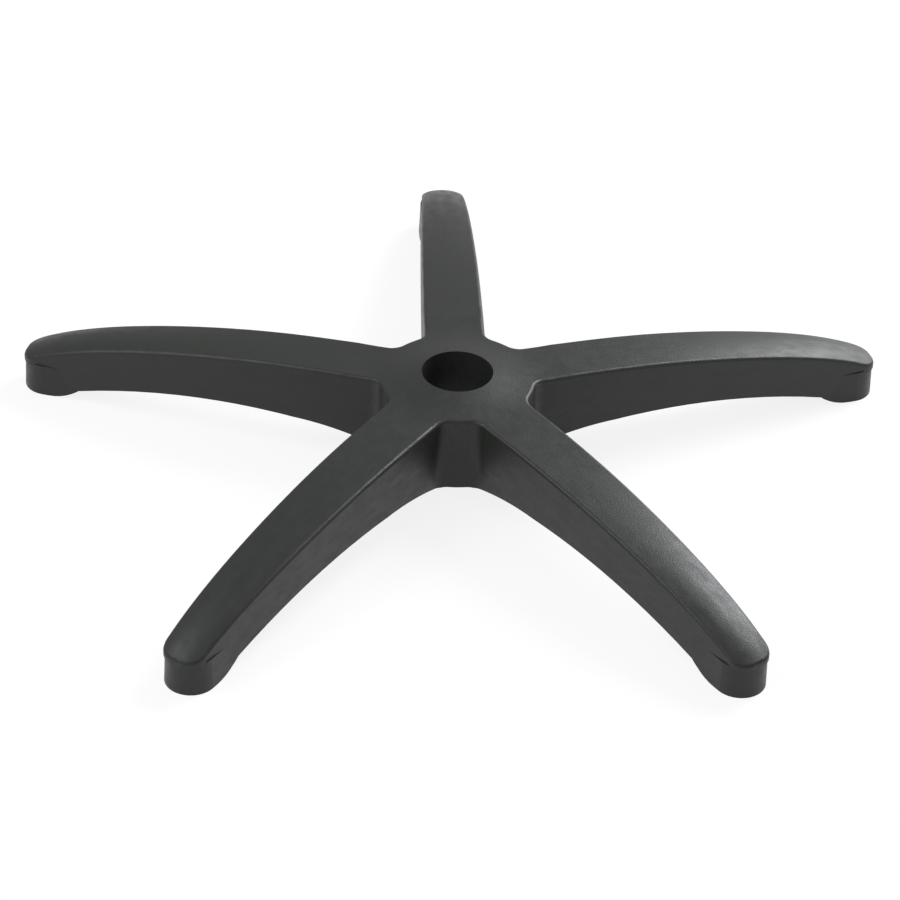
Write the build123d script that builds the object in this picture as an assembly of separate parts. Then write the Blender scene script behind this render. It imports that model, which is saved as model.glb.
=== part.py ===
from build123d import *

import os
from math import cos, radians, sin

# Five-arm base of a swivel chair: one injection moulding in glass-filled nylon.
#
# The frame: +Z is up, the axis of the gas-lift socket is the Z axis, and the origin is the
# centre of the socket's mouth, at the top of the hub. One arm points along +Y. Millimetres.
# An arm is drawn along +Y, so that a place on it is (across, along, height).

# The star seen from above
ARMS = 5
ARM_ANGLE = 360 / ARMS
HUB_RADIUS = 54.5
ROOT_FILLET = 11.0
ROOT_HALF_WIDTH = 21.5
MIDDLE_HALF_WIDTH = 20.5
MIDDLE_AT = 150.0
TIP_HALF_WIDTH = 16.3
TIP_AT = 2 * MIDDLE_AT
ARM_END = 321.8
END_CORNER = 12.6

# The top: a low dome at the hub, then arms that bow down and grow a crown across their width
DOME = [(0.0, 0.2), (24.0, 0.0), (40.0, -2.9), (56.0, -5.0), (78.0, -5.7), (110.0, -7.1)]
ARM_STARTS = 78.0
CREST = [(110.0, -7.1), (165.0, -11.4), (230.0, -20.9), (285.0, -34.2), (310.0, -43.6), (330.0, -54.0)]
CROWN_AT_TIP = 3.2
CROWN_GROWTH = 1.4
ARM_BLANK_HALF = 30.0
TOP_EDGE_ROLL = 2.5
UPWARD = 0.5

# The lower edge of the skirt: deep at the hub, arched along the arm, easing down into the foot
FOOT_BOTTOM = -76.0
HUB_BOTTOM = -60.5
HUB_RUN = [(56.0, HUB_BOTTOM), (80.0, -54.2), (115.0, -50.4)]
ARCH = [(115.0, -50.4), (200.0, -52.1), (277.0, -67.4)]
FLAT_FROM = 300.0

# The foot: a round end that carries the caster, under a lip at the end of the arm
CASTER_AT = 305.0
FOOT_RADIUS = 17.6
FOOT_HALF_WIDTH = 17.0
FOOT_STARTS = 280.0
FOOT_DRAFT = 1.5
FOOT_RISE = 24.0
LIP_BOTTOM = -54.0
FOOT_WALL_AT = 284.5
FOOT_POCKET_DRAFT = 2.0
FOOT_POCKET_DEPTH = 28.0
CASTER_BORE_RADIUS = 5.5
CASTER_BORE_DEPTH = 26.0
CASTER_LEAD_IN = 0.8
CASTER_BOSS_RADIUS = 9.5

# The hub socket: a 1 to 20 taper on the diameter
SOCKET_MOUTH_RADIUS = 25.0
SOCKET_TAPER = 1 / 40
SOCKET_RIM_ROLL = 1.2
TUBE_RADIUS = 31.5

# Walls and ribs of the hollow underside
WALL = 3.8
TOP_WALL = 4.2
RIB = 2.6
HUB_RIB = 3.0
RIB_RECESS = 3.0
ZIGZAG_FROM = 68.0
ZIGZAG_TO = 283.0
ZIGZAG_BAYS = 5

CLEAR = 10.0
BELOW = -100.0


def turned(shape, step):
    return Rot(0, 0, step * ARM_ANGLE) * shape


def all_round(shape):
    return [turned(shape, step) for step in range(ARMS)]


def half_width(along):
    """Half the arm's width, a gentle bow through the root, the middle and the tip."""
    share = along / MIDDLE_AT
    to_middle = MIDDLE_HALF_WIDTH - ROOT_HALF_WIDTH
    to_tip = TIP_HALF_WIDTH - MIDDLE_HALF_WIDTH
    return ROOT_HALF_WIDTH + share * to_middle + share * (share - 1) * (to_tip - to_middle) / 2


def arm_plan(inset=0.0, end=ARM_END):
    """An arm from above, from the hub's axis to its rounded end."""
    left_root = (-half_width(0) + inset, 0)
    left_middle = (-half_width(MIDDLE_AT) + inset, MIDDLE_AT)
    left_end = (-half_width(end) + inset, end - inset)
    mirrored = [(-x, y) for x, y in (left_end, left_middle, left_root)]
    outline = [ThreePointArc(left_root, left_middle, left_end), Line(left_end, mirrored[0])]
    outline += [ThreePointArc(*mirrored), Line(mirrored[2], left_root)]
    face = make_face(outline)
    corners = face.vertices().sort_by(Axis.Y)[-2:]
    return fillet(corners, END_CORNER - inset)


def star_plan(inset=0.0):
    """The whole star from above, with a concave fillet at each side of each arm's root."""
    hub = Circle(HUB_RADIUS - inset)
    plan = hub + all_round(arm_plan(inset))
    roots = plan.vertices().sort_by(lambda corner: Vector(corner).length)[: 2 * ARMS]
    return fillet(roots, ROOT_FILLET + inset)


def prism(face, bottom=BELOW, top=CLEAR):
    return extrude(Pos(0, 0, bottom) * face, top - bottom)


def in_profile(points):
    """Places given as (radius, height), in the plane that a profile is turned from."""
    return [Vector(radius, 0, height) for radius, height in points]


def turned_profile(curves, closing):
    """A solid of revolution: curves in the profile plane, closed by straight runs."""
    rest = Polyline(curves[-1] @ 1, *in_profile(closing), curves[0] @ 0)
    return revolve(make_face([*curves, rest]), Axis.Z)


def crown(along):
    """How far an arm's middle stands above its edges."""
    share = max(along - ARM_STARTS, 0) / (TIP_AT - ARM_STARTS)
    return CROWN_AT_TIP * share**CROWN_GROWTH


def arm_slice(along, height):
    """A slice across an arm's blank: straight below, with the crown of the real width carried on."""
    wide = ARM_BLANK_HALF
    edge = height - crown(along) * (wide / half_width(along)) ** 2
    top = ThreePointArc((-wide, along, edge), (0, along, height), (wide, along, edge))
    rest = Polyline((wide, along, edge), (wide, along, BELOW), (-wide, along, BELOW), (-wide, along, edge))
    return make_face([top, rest])


def top_form():
    """What lies below the top surface: the dome of the hub, carried out into five lofted arms."""
    dome = turned_profile([Spline(*in_profile(DOME))], [(DOME[-1][0], BELOW), (0, BELOW)])
    hub = dome & prism(Rot(0, 0, 90 - ARM_ANGLE * 1.5) * RegularPolygon(ARM_STARTS, ARMS, major_radius=False))
    root_block = dome & Pos(0, 0, BELOW) * Box(
        2 * ARM_BLANK_HALF, ARM_STARTS, CLEAR - BELOW, align=(Align.CENTER, Align.MIN, Align.MIN)
    )
    root = root_block.faces().sort_by(Axis.Y)[-1]
    arm = loft([root] + [arm_slice(along, height) for along, height in CREST])
    return hub + all_round(arm)


def under_arch():
    """What lies below the skirt's lower edge, from the flat face of the feet in to the hub."""
    past_feet = ARM_END + CLEAR
    ease = in_profile([(FLAT_FROM, FOOT_BOTTOM), ARCH[-1]])
    curves = [TangentArc(ease, tangent=(-1, 0, 0))]
    curves += [ThreePointArc(*in_profile(reversed(run))) for run in (ARCH, HUB_RUN)]
    return turned_profile(curves, [(0, HUB_BOTTOM), (0, BELOW), (past_feet, BELOW), (past_feet, FOOT_BOTTOM)])


def foot_plan(starts, inset=0.0):
    """The foot from above: straight sides that run out to the round end over the caster."""
    half = FOOT_HALF_WIDTH - inset
    inboard = Line((-half, starts), (half, starts))
    end = Pos(0, CASTER_AT) * Circle(FOOT_RADIUS - inset)
    return make_hull([inboard.edge(), *end.edges()])


def foot_block():
    """The foot narrows upwards until it is inside the arm's own walls."""
    return extrude(Pos(0, 0, FOOT_BOTTOM) * foot_plan(FOOT_STARTS), FOOT_RISE, taper=FOOT_DRAFT)


def under_lip():
    """What is taken off the end of an arm, so that it overhangs the foot as a narrow lip."""
    return Pos(0, CASTER_AT, LIP_BOTTOM) * Box(
        2 * ARM_BLANK_HALF, ARM_BLANK_HALF, CLEAR - BELOW, align=(Align.CENTER, Align.MIN, Align.MAX)
    )


def outer_form(form, below):
    """The moulding before its underside is hollowed: star, rolled edges, socket, feet and lower edge."""
    star = prism(star_plan()) & form
    tops = [face for face in star.faces() if face.normal_at(face.center()).Z > UPWARD]
    rim = [edge for edge in star.edges() if sum(is_edge_of(edge, face) for face in tops) == 1]
    star = fillet(rim, TOP_EDGE_ROLL) - socket()
    mouth = star.edges().filter_by(GeomType.CIRCLE).sort_by(Axis.Z)[-1]
    return fillet(mouth, SOCKET_RIM_ROLL) - all_round(under_lip()) + all_round(foot_block()) - below


def is_edge_of(edge, face):
    return any(edge.is_same(other) for other in face.edges())


def strip(start, end, thickness):
    """A rib seen from above, between two places."""
    start, end = Vector(*start), Vector(*end)
    middle = (start + end) / 2
    turn = Vector(1, 0, 0).get_signed_angle(end - start)
    return Pos(middle.X, middle.Y) * Rot(0, 0, turn) * Rectangle((end - start).length, thickness)


def zigzag():
    """The slanting ribs down an arm, from wall to wall and back."""
    pitch = (ZIGZAG_TO - ZIGZAG_FROM) / ZIGZAG_BAYS
    ribs = []
    for bay in range(ZIGZAG_BAYS):
        near, far = ZIGZAG_FROM + bay * pitch, ZIGZAG_FROM + (bay + 1) * pitch
        side = 1 if bay % 2 else -1
        ribs.append(strip((side * half_width(near), near), (-side * half_width(far), far), RIB))
    return ribs


def open_plan():
    """Where one fifth of the underside is open at its lower edge: hub pocket and arm channel."""
    reach = 2 * HUB_RADIUS
    side = reach * sin(radians(ARM_ANGLE / 2)), reach * cos(radians(ARM_ANGLE / 2))
    fifth = make_face(
        Polyline((0, 0), side, (side[0], ARM_END), (-side[0], ARM_END), (-side[0], side[1]), (0, 0))
    )
    rib = strip((0, 0), (0, reach), HUB_RIB)
    between_arms = [Rot(0, 0, turn) * rib for turn in (-ARM_ANGLE / 2, ARM_ANGLE / 2)]
    past_foot_wall = Pos(0, FOOT_WALL_AT) * Rectangle(reach, reach, align=(Align.CENTER, Align.MIN))
    return (star_plan(WALL) & fifth) - Circle(TUBE_RADIUS) - between_arms - past_foot_wall


def pocket_plan():
    """The same place above the lower edges of its ribs."""
    wall = strip((-HUB_RADIUS, ZIGZAG_FROM), (HUB_RADIUS, ZIGZAG_FROM), RIB)
    spoke = strip((0, 0), (0, ZIGZAG_FROM), HUB_RIB)
    return open_plan() - zigzag() - wall - spoke


def foot_pockets():
    """Four pockets round the caster's boss. They narrow upwards, so the boss and its ribs have draft."""
    boss = Pos(0, CASTER_AT) * Circle(CASTER_BOSS_RADIUS)
    lengthwise = strip((0, FOOT_WALL_AT), (0, ARM_END + CLEAR), RIB)
    crosswise = strip((-FOOT_RADIUS, CASTER_AT), (FOOT_RADIUS, CASTER_AT), RIB)
    plan = foot_plan(FOOT_WALL_AT + WALL, WALL) - boss - lengthwise - crosswise
    return extrude(Pos(0, 0, FOOT_BOTTOM) * plan, FOOT_POCKET_DEPTH, taper=FOOT_POCKET_DRAFT)


def hollow(form, below):
    """What one fifth of the moulding leaves empty underneath."""
    ceiling = Pos(0, 0, -TOP_WALL) * form
    recess = Pos(0, 0, RIB_RECESS) * below
    return [prism(pocket_plan()) & ceiling, prism(open_plan()) & recess, foot_pockets() & ceiling]


def socket():
    """The tapered hole for the gas lift, right through the hub."""
    lower, upper = (SOCKET_MOUTH_RADIUS + height * SOCKET_TAPER for height in (BELOW, CLEAR))
    return Pos(0, 0, BELOW) * Cone(lower, upper, CLEAR - BELOW, align=(Align.CENTER, Align.CENTER, Align.MIN))


def caster_bore():
    """The blind hole in a foot that a caster's stem is pushed into, with a lead-in at its mouth."""
    upward = (Align.CENTER, Align.CENTER, Align.MIN)
    hole = Pos(0, 0, -CLEAR) * Cylinder(CASTER_BORE_RADIUS, CASTER_BORE_DEPTH + CLEAR, align=upward)
    lead_in = Cone(CASTER_BORE_RADIUS + CASTER_LEAD_IN, CASTER_BORE_RADIUS, CASTER_LEAD_IN, align=upward)
    return Pos(0, CASTER_AT, FOOT_BOTTOM) * (hole + lead_in)


def star_base():
    form = top_form()
    below = under_arch()
    star = outer_form(form, below)
    for space in [*hollow(form, below), caster_bore()]:
        star = star - all_round(space)
    return star


os.makedirs("parts", exist_ok=True)
base = star_base()
print(f"star_base: {len(base.solids())} solid, {base.volume / 1000:.0f} cubic centimetres, valid {base.is_valid}")
export_step(base, "parts/star_base.step")
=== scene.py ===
# %% [markdown]
# # The five-arm base of a swivel chair
#
# On the real chair this is one moulding in black glass-filled nylon. Nothing is fastened to it
# here, so the whole lesson is about one form and one finish: how light from a studio reads on a
# satin black surface, and how a material gets the small things that a flat colour lacks.
#
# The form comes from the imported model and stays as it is. Blender adds the camera, the studio and
# the finish.

# %% Load the frame
from math import cos, radians, sin

import bpy
from mathutils import Euler, Matrix, Vector


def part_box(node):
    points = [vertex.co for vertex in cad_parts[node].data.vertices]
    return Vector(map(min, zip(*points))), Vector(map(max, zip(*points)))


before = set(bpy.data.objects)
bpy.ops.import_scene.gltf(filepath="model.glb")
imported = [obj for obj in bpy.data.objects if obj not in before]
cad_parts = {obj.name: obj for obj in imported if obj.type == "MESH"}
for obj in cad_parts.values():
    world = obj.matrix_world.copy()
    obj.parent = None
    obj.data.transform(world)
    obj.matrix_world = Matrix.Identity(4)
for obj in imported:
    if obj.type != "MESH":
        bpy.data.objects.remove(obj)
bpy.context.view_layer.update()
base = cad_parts["star_base"]
lowest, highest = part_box("star_base")
floor_height = lowest.z
bpy.context.scene.view_settings.view_transform = "Standard"
print(f"the base stands on {floor_height:.4f} m and is {highest.x - lowest.x:.3f} m wide")

# %% [markdown]
# ## The camera
#
# The photograph was taken with a long lens from 2.57 m away, 34 degrees above the floor. These
# values come from fitting the base's outline to the photograph. The camera first looks at the
# middle of the hub's mouth, which is the origin, and is then turned a little, as the real one was.
# Turning the camera keeps the picture true, where shifting the lens would not.

# %% Place the camera
CAMERA_DISTANCE = 2.5698
CAMERA_AZIMUTH = -3.143
CAMERA_ELEVATION = 34.201
CAMERA_YAW = 0.068
CAMERA_PITCH = -1.228
CAMERA_ROLL = 2.267
PICTURE_WIDTH = 900
FOCAL_LENGTH_IN_PIXELS = 3691.9
SENSOR_WIDTH = 36.0


def direction(azimuth, elevation):
    """The unit vector from the origin to a place seen at these angles, in degrees."""
    around, up = radians(azimuth), radians(elevation)
    return Vector((sin(around) * cos(up), -cos(around) * cos(up), sin(up)))


def make_camera():
    camera = bpy.data.objects.new("camera", bpy.data.cameras.new("camera"))
    bpy.context.scene.collection.objects.link(camera)
    camera.data.sensor_width = SENSOR_WIDTH
    camera.data.lens = FOCAL_LENGTH_IN_PIXELS / PICTURE_WIDTH * SENSOR_WIDTH
    towards_hub = Euler((radians(90 - CAMERA_ELEVATION), 0, radians(CAMERA_AZIMUTH))).to_matrix()
    yaw = Matrix.Rotation(radians(CAMERA_YAW), 3, "Y")
    pitch = Matrix.Rotation(radians(CAMERA_PITCH), 3, "X")
    roll = Matrix.Rotation(radians(CAMERA_ROLL), 3, "Z")
    place = Matrix.Translation(direction(CAMERA_AZIMUTH, CAMERA_ELEVATION) * CAMERA_DISTANCE)
    camera.matrix_world = place @ (towards_hub @ yaw @ pitch @ roll).to_4x4()
    return camera


bpy.context.scene.camera = make_camera()
print(f"the lens is {bpy.context.scene.camera.data.lens:.1f} mm long")

# %% [markdown]
# ## Helpers for nodes
#
# A material is a graph of nodes. Four short helpers keep the graphs readable. They add a node with
# its settings and the values of its sockets, join two sockets, do a sum, and start an empty
# material.


# %% Node helpers
def add_node(tree, kind, settings=None, **values):
    """Adds a node. Settings are its own properties, values are what its input sockets start with."""
    node = tree.nodes.new("ShaderNode" + kind)
    for name, setting in (settings or {}).items():
        setattr(node, name, setting)
    for name, value in values.items():
        node.inputs[name.replace("_", " ")].default_value = value
    return node


def join(tree, source, target):
    tree.links.new(source, target)


def math_node(tree, operation, *values):
    """A Math node fed by sockets or plain numbers. Returns its output socket."""
    node = add_node(tree, "Math", {"operation": operation})
    for socket, value in zip(node.inputs, values):
        if isinstance(value, bpy.types.NodeSocket):
            join(tree, value, socket)
        else:
            socket.default_value = value
    return node.outputs[0]


def new_material(name):
    material = bpy.data.materials.new(name)
    material.use_nodes = True
    material.node_tree.nodes.clear()
    return material, material.node_tree


# %% [markdown]
# ## The floor and the white surround
#
# The photograph shows the base on pure white. A white floor lit to clipping would lose the shadow
# and throw too much light on the base, so the floor is a plain pale surface that is lit like
# everything else, and what the camera sees of it is lifted part of the way to white. The shadow
# stays, only softer. From below, the floor lets the camera through, so the ribs can be seen.
#
# Light Path tells what kind of ray is asking. The background is shown to the camera, and also to
# rays that are mirrored or that pass through something clear, so that reflections agree with it.

# %% Tell the rays that show the background
def background_rays(tree):
    """A socket that is 1 for camera, mirrored and transmitted rays, and 0 for all others."""
    path = add_node(tree, "LightPath")
    kinds = [path.outputs[f"Is {kind} Ray"] for kind in ("Camera", "Glossy", "Transmission")]
    return math_node(tree, "MAXIMUM", math_node(tree, "MAXIMUM", *kinds[:2]), kinds[2])


# %% Build the floor
FLOOR_SIZE = 14.0
FLOOR_COLOUR = (0.90, 0.90, 0.90, 1)
FLOOR_LIFT = 0.85


def floor_material():
    material, tree = new_material("floor_white")
    lit = add_node(tree, "BsdfDiffuse", Color=FLOOR_COLOUR)
    white = add_node(tree, "Emission", Color=(1, 1, 1, 1), Strength=1.0)
    lift = math_node(tree, "MULTIPLY", background_rays(tree), FLOOR_LIFT)
    seen = add_node(tree, "MixShader")
    join(tree, lift, seen.inputs[0])
    join(tree, lit.outputs[0], seen.inputs[1])
    join(tree, white.outputs[0], seen.inputs[2])
    clear = add_node(tree, "BsdfTransparent")
    side = add_node(tree, "NewGeometry")
    surface = add_node(tree, "MixShader")
    join(tree, side.outputs["Backfacing"], surface.inputs[0])
    join(tree, seen.outputs[0], surface.inputs[1])
    join(tree, clear.outputs[0], surface.inputs[2])
    output = add_node(tree, "OutputMaterial")
    join(tree, surface.outputs[0], output.inputs["Surface"])
    return material


def make_floor():
    half = FLOOR_SIZE / 2
    corners = [(-half, -half, 0), (half, -half, 0), (half, half, 0), (-half, half, 0)]
    mesh = bpy.data.meshes.new("floor")
    mesh.from_pydata(corners, [], [(0, 1, 2, 3)])
    floor = bpy.data.objects.new("floor", mesh)
    floor.location.z = floor_height
    bpy.context.scene.collection.objects.link(floor)
    mesh.materials.append(floor_material())
    return floor


print("the floor lies at", round(make_floor().location.z, 4), "m")

# %% [markdown]
# ## The light
#
# Satin black shows hardly any colour of its own. What the eye reads is the room mirrored in it,
# blurred, so the lamps are placed by their reflections. The photograph's tops are a soft even grey,
# which is a dim surround that is the same all round. The outer edges of the arms on the right are
# bright, and they mirror what lies low at the back right, so a softbox stands there. A second one
# above it widens the bright band towards the hub. The left side walls are a little lighter than
# those on the right, which takes a weaker lamp high on the left and a faint fill in front.
#
# A lamp that is low and strong would turn the tops white when they are seen from the opposite side,
# so only the one that the photograph asks for is low.

# %% Light the studio
SURROUND_LIGHT = 0.5
SURROUND_COLOUR = (1.0, 1.0, 1.0, 1)
LAMP_COLOUR = (0.95, 0.975, 1.0)
LAMPS = {
    "back_right_softbox": dict(azimuth=137, elevation=20, distance=1.6, size=0.9, watts=10.5),
    "high_right_softbox": dict(azimuth=128, elevation=42, distance=2.0, size=0.9, watts=35),
    "high_left_softbox": dict(azimuth=-85, elevation=50, distance=2.2, size=1.2, watts=20),
    "front_left_fill": dict(azimuth=-50, elevation=30, distance=2.2, size=1.2, watts=8),
}


def make_surround():
    world = bpy.data.worlds.new("studio")
    bpy.context.scene.world = world
    world.use_nodes = True
    tree = world.node_tree
    tree.nodes.clear()
    light = add_node(tree, "Background", Color=SURROUND_COLOUR, Strength=SURROUND_LIGHT)
    output = add_node(tree, "OutputWorld")
    join(tree, light.outputs[0], output.inputs["Surface"])


def make_lamp(name, azimuth, elevation, distance, size, watts):
    """A square soft lamp that faces the middle of the base."""
    data = bpy.data.lights.new(name, "AREA")
    data.size = size
    data.energy = watts
    data.color = LAMP_COLOUR
    lamp = bpy.data.objects.new(name, data)
    bpy.context.scene.collection.objects.link(lamp)
    place = direction(azimuth, elevation)
    lamp.location = place * distance
    lamp.rotation_euler = place.to_track_quat("Z", "Y").to_euler()
    return lamp


make_surround()
for name, setting in LAMPS.items():
    make_lamp(name, **setting)
print(len(LAMPS), "lamps and a pale surround")

# %% [markdown]
# ## Node groups for the surface
#
# A node group hides a graph behind a few named sockets, so that it can be used in more than one
# material. The three groups here give values only, and the shader stays in the material.
#
# - arm_place turns a point of the star into a place on its arm: how far along, and how far across.
#   All five arms then share one pattern of marks that runs lengthwise, as the melt flowed.
# - flow_marks gives soft lengthwise patches, which are where the finish is a little duller.
# - moulded_grain gives the height of the fine spark-eroded grain, pits and all.


# %% Build the node groups
FIRST_ARM = radians(18)
ARM_STEP = radians(72)


def new_group(name, inputs, outputs):
    """A shader node group. Inputs are names with start values, outputs are names."""
    tree = bpy.data.node_groups.new(name, "ShaderNodeTree")
    for socket_name, value in inputs.items():
        socket = tree.interface.new_socket(socket_name, in_out="INPUT", socket_type="NodeSocketFloat")
        socket.default_value = value
    for socket_name in outputs:
        tree.interface.new_socket(socket_name, in_out="OUTPUT", socket_type="NodeSocketFloat")
    return tree, tree.nodes.new("NodeGroupInput"), tree.nodes.new("NodeGroupOutput")


def arm_place_group():
    tree, _, result = new_group("arm_place", {}, ["Along", "Across", "Height"])
    place = add_node(tree, "SeparateXYZ")
    join(tree, add_node(tree, "TexCoord").outputs["Object"], place.inputs[0])
    x, y, z = place.outputs
    squares = [math_node(tree, "MULTIPLY", side, side) for side in (x, y)]
    radius = math_node(tree, "SQRT", math_node(tree, "ADD", *squares))
    angle = math_node(tree, "SUBTRACT", math_node(tree, "ARCTAN2", y, x), FIRST_ARM)
    folded = math_node(tree, "WRAP", angle, ARM_STEP / 2, -ARM_STEP / 2)
    for name, part in (("Along", "COSINE"), ("Across", "SINE")):
        share = math_node(tree, part, folded)
        join(tree, math_node(tree, "MULTIPLY", radius, share), result.inputs[name])
    join(tree, z, result.inputs["Height"])
    return tree


def flow_marks_group(arm_place):
    tree, given, result = new_group("flow_marks", {"Mark Size": 0.01, "Stretch": 4.0}, ["Mask"])
    place = add_node(tree, "Group", {"node_tree": arm_place})
    marks = add_node(tree, "TexNoise", Scale=1.0, Detail=3.0, Roughness=0.62)
    spot = add_node(tree, "CombineXYZ")
    along = math_node(tree, "DIVIDE", place.outputs["Along"], given.outputs["Stretch"])
    for value, socket in zip((along, place.outputs["Across"], place.outputs["Height"]), spot.inputs):
        join(tree, math_node(tree, "DIVIDE", value, given.outputs["Mark Size"]), socket)
    join(tree, spot.outputs[0], marks.inputs["Vector"])
    spread = add_node(tree, "MapRange", From_Min=0.35, From_Max=0.65)
    join(tree, marks.outputs[0], spread.inputs["Value"])
    join(tree, spread.outputs[0], result.inputs["Mask"])
    return tree


def moulded_grain_group():
    tree, given, result = new_group("moulded_grain", {"Grain Size": 0.001}, ["Height"])
    place = add_node(tree, "TexCoord")
    frequency = math_node(tree, "DIVIDE", 1.0, given.outputs["Grain Size"])
    cells = add_node(tree, "TexVoronoi", {"feature": "SMOOTH_F1"}, Smoothness=0.6)
    speckle = add_node(tree, "TexNoise", Detail=2.0, Roughness=0.6)
    for texture in (cells, speckle):
        join(tree, place.outputs["Object"], texture.inputs["Vector"])
        join(tree, frequency, texture.inputs["Scale"])
    height = math_node(tree, "ADD", cells.outputs["Distance"], speckle.outputs[0])
    join(tree, height, result.inputs["Height"])
    return tree


arm_place = arm_place_group()
flow_marks = flow_marks_group(arm_place)
moulded_grain = moulded_grain_group()
print("groups", [group.name for group in (arm_place, flow_marks, moulded_grain)])

# %% [markdown]
# ## The finish of the nylon
#
# One Principled shader with the refraction of nylon, on a nearly black, slightly green base. The
# fine pits of the mould's grain swallow part of the gloss, so the specular level lies below the
# usual 0.5. What keeps it from looking like a flat colour is that its gloss isn't even: the flow
# marks move the roughness a little, so a reflected softbox breaks up into soft patches. The grain
# tilts the normals through a Bump node.

# %% Make the nylon
NYLON_COLOUR = (0.017, 0.0185, 0.0165, 1)
NYLON_IOR = 1.53
NYLON_SPECULAR = 0.3
GLOSSY_ROUGHNESS = 0.36
DULL_ROUGHNESS = 0.48
MARK_SIZE = 0.006
MARK_STRETCH = 2.2
GRAIN_SIZE = 0.0011
GRAIN_HEIGHT = 0.00005


def nylon_material():
    material, tree = new_material("black_nylon")
    finish = dict(Base_Color=NYLON_COLOUR, IOR=NYLON_IOR, Specular_IOR_Level=NYLON_SPECULAR)
    surface = add_node(tree, "BsdfPrincipled", **finish)
    marks = add_node(tree, "Group", {"node_tree": flow_marks}, Mark_Size=MARK_SIZE, Stretch=MARK_STRETCH)
    dullness = add_node(tree, "MapRange", To_Min=GLOSSY_ROUGHNESS, To_Max=DULL_ROUGHNESS)
    join(tree, marks.outputs["Mask"], dullness.inputs["Value"])
    join(tree, dullness.outputs[0], surface.inputs["Roughness"])
    grain = add_node(tree, "Group", {"node_tree": moulded_grain}, Grain_Size=GRAIN_SIZE)
    bump = add_node(tree, "Bump", Strength=1.0, Distance=GRAIN_HEIGHT)
    join(tree, grain.outputs["Height"], bump.inputs["Height"])
    join(tree, bump.outputs[0], surface.inputs["Normal"])
    output = add_node(tree, "OutputMaterial")
    join(tree, surface.outputs[0], output.inputs["Surface"])
    return material


nylon = nylon_material()
for slot in base.material_slots:
    slot.material = nylon
print("the base has", len(base.material_slots), "material slot in", nylon.name)
